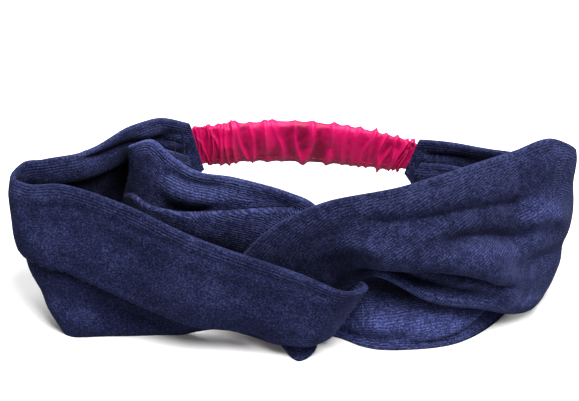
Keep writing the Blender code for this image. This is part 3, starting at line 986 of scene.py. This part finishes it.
def casing(surface):
    """The ruched satin tube, with its outer points and the unit normals there."""
    share = np.linspace(0, 1, CASING_COLUMNS)
    length = np.linalg.norm(np.diff(casing_frames(share)[0], axis=0), axis=1).sum()
    plain, tube, crests, girth = straight_tube(length, share)
    points = bent_tube(plain, tube, share, length)
    step_along = np.gradient(points, axis=0)
    step_round = (np.roll(points, -1, axis=1) - np.roll(points, 1, axis=1)) / 2
    facing = unit(np.cross(step_round, step_along))
    facing *= np.sign(((points - points.mean(axis=1, keepdims=True)) * facing).sum(-1).mean())
    inner = points - facing * CASING_WALL
    index = np.arange(2 * crests.size).reshape(2, *crests.shape)
    quads = [tube_quads(index[0], flip=True), tube_quads(index[1], flip=True)[:, ::-1]]
    for column, way in ((0, 1), (-1, -1)):
        a, b = index[0, column], index[1, column]
        quads.append(np.stack([a, np.roll(a, -1), np.roll(b, -1), b], axis=-1)[:, ::way])
    mesh = bpy.data.meshes.new("ruched_casing")
    both = np.concatenate([points.reshape(-1, 3), inner.reshape(-1, 3)])
    mesh.from_pydata((both * MM).tolist(), [], np.concatenate(quads).tolist())
    cloth = np.zeros((CASING_COLUMNS, CASING_SIDES, 3))
    cloth[..., 0] = share[:, None] * length * SATIN_FULLNESS
    cloth[..., 1] = np.arange(CASING_SIDES) / CASING_SIDES * girth
    # the crests' height, which the satin turns into painted highlight and shade
    cloth[..., 2] = crests
    set_cloth(mesh, np.tile(cloth.reshape(-1, 3), (2, 1)))
    mesh.shade_smooth()
    made = add_piece("ruched_casing", mesh, surface, "elastic_casing")
    return made, points, facing


def elastic(surface):
    """The flat elastic inside the casing, thicker along each of its cords."""
    share = np.linspace(0.08, 0.92, 120)
    centre, _, _, across, up = casing_frames(share)
    half_wide, half_thick, half_sides = ELASTIC_WIDTH / 2, ELASTIC_THICKNESS / 2, 24
    outline = []
    for k in range(half_sides):
        v = (-1 + 2 * k / (half_sides - 1)) * half_wide
        outline.append((v, half_thick * (1 + 0.25 * abs(math.sin(v * math.pi / CORD_PITCH)))))
    outline += [(v, -t) for v, t in reversed(outline)]
    wide, thick = np.array(outline).T
    rings = centre[:, None] + up[:, None] * wide[None, :, None] + across[:, None] * thick[None, :, None]
    index = np.arange(rings[..., 0].size).reshape(rings.shape[:2])
    caps = [index[0].tolist(), index[-1, ::-1].tolist()]
    mesh = bpy.data.meshes.new("braided_elastic")
    mesh.from_pydata((rings.reshape(-1, 3) * MM).tolist(), [], tube_quads(index, flip=True).tolist() + caps)
    cloth = np.zeros(rings.shape)
    cloth[..., 0] = (share * ELASTIC_LENGTH)[:, None]
    cloth[..., 1] = wide
    set_cloth(mesh, cloth)
    mesh.shade_smooth()
    return add_piece("braided_elastic", mesh, surface, "elastic_strip")


def casing_stitches(points, facing, surface):
    """The row of stitches low on the casing's inner face, through the satin and the elastic."""
    share = np.linspace(0, 1, len(points))
    centre, heights, _, across, up = casing_frames(share)
    below_middle = 0.30  # of the casing's height
    behind = 100  # keeps points on the casing's back from being the nearest
    path, lift = [], []
    for k in np.flatnonzero((share > 0.1) & (share < 0.9)):
        low = (points[k] - centre[k]) @ up[k] + below_middle * heights[k]
        front = (points[k] - centre[k]) @ across[k] > 0
        nearest = np.argmin(np.abs(low) + behind * ~front)
        path.append(points[k, nearest])
        lift.append(facing[k, nearest])
    path = np.array(path)
    kernel = np.ones(5) / 5
    for i in range(3):
        path[2:-2, i] = np.convolve(path[:, i], kernel, "valid")
    return stitch_row(
        "casing_stitches", path, unit(np.array(lift)), CASING_THREAD_RADIUS, surface, "casing_topstitch",
    )


# ---------------------------------------------------------------- studio


def floor():
    """A floor that the camera sees almost white, and that throws less light back up than it seems to."""
    half = 3.0  # metres
    mesh = bpy.data.meshes.new("floor")
    corners = [(-half, -half, 0), (half, -half, 0), (half, half, 0), (-half, half, 0)]
    mesh.from_pydata(corners, [], [(0, 1, 2, 3)])
    made = bpy.data.objects.new("floor", mesh)
    n = Nodes("pale_floor")
    seen = n.add("ShaderNodeLightPath").outputs["Is Camera Ray"]
    n.surface(Base_Color=n.mix(seen, grey(0.22), grey(0.95)), Roughness=0.9, Specular_IOR_Level=0.0)
    mesh.materials.append(n.material)
    bpy.context.scene.collection.objects.link(made)


def area_light(name, place, size, energy, aim=(0, 0, 0.03)):
    data = bpy.data.lights.new(name, "AREA")
    data.shape = "DISK"
    data.size = size
    data.energy = energy
    made = bpy.data.objects.new(name, data)
    made.location = place
    made.rotation_euler = (Vector(aim) - Vector(place)).to_track_quat("-Z", "Y").to_euler()
    bpy.context.scene.collection.objects.link(made)


def studio():
    """A soft key light above the front right, a weaker one above the back, and a dim white surround.
    Places and sizes are metres."""
    area_light("key", (0.16, -0.20, 0.72), 0.55, 12.0)
    area_light("rim", (-0.05, 0.36, 0.66), 0.5, 4.5)
    world = bpy.data.worlds.new("surround")
    bpy.context.scene.world = world
    world.use_nodes = True
    background = world.node_tree.nodes["Background"]
    background.inputs["Color"].default_value = (1, 1, 1, 1)
    background.inputs["Strength"].default_value = 0.34
    bpy.context.scene.view_settings.view_transform = "Standard"


def camera():
    """The photograph's view: from in front and 38 degrees above, with a long lens."""
    data = bpy.data.cameras.new("camera")
    data.lens, data.sensor_width = 136.5, 36
    made = bpy.data.objects.new("camera", data)
    elevation, metres_away = math.radians(38), 0.9
    aim = Vector((-1.5, 4.5, 38.7)) * MM
    back = Vector((0, -math.cos(elevation), math.sin(elevation)))
    made.location = aim + back * metres_away
    made.rotation_euler = back.to_track_quat("Z", "Y").to_euler()
    bpy.context.scene.collection.objects.link(made)
    bpy.context.scene.camera = made


def build():
    navy = velour()
    navy_thread = thread_finish("navy_thread", (0.002, 0.003, 0.010), (0.010, 0.012, 0.040))
    crimson_thread = thread_finish("crimson_thread", (0.25, 0.002, 0.03), (0.6, 0.02, 0.12))
    for side, stations, folds, pile, painted_bands, seed in (
        ("left", LEFT_STRIP, LEFT_FOLDS, LEFT_PILE_AND_LIGHT, LEFT_PAINTED_BANDS, 21),
        ("right", RIGHT_STRIP, RIGHT_FOLDS, RIGHT_PILE_AND_LIGHT, RIGHT_PAINTED_BANDS, 43),
    ):
        strip = velour_strip(side, stations, folds, pile, painted_bands, seed, navy)
        strip_stitches(side, strip, navy_thread)
    tube, points, facing = casing(satin())
    band = elastic(elastic_weave())
    row = casing_stitches(points, facing, crimson_thread)
    for piece in (tube, band, row):
        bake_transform(piece)
    floor()
    studio()
    camera()


build()
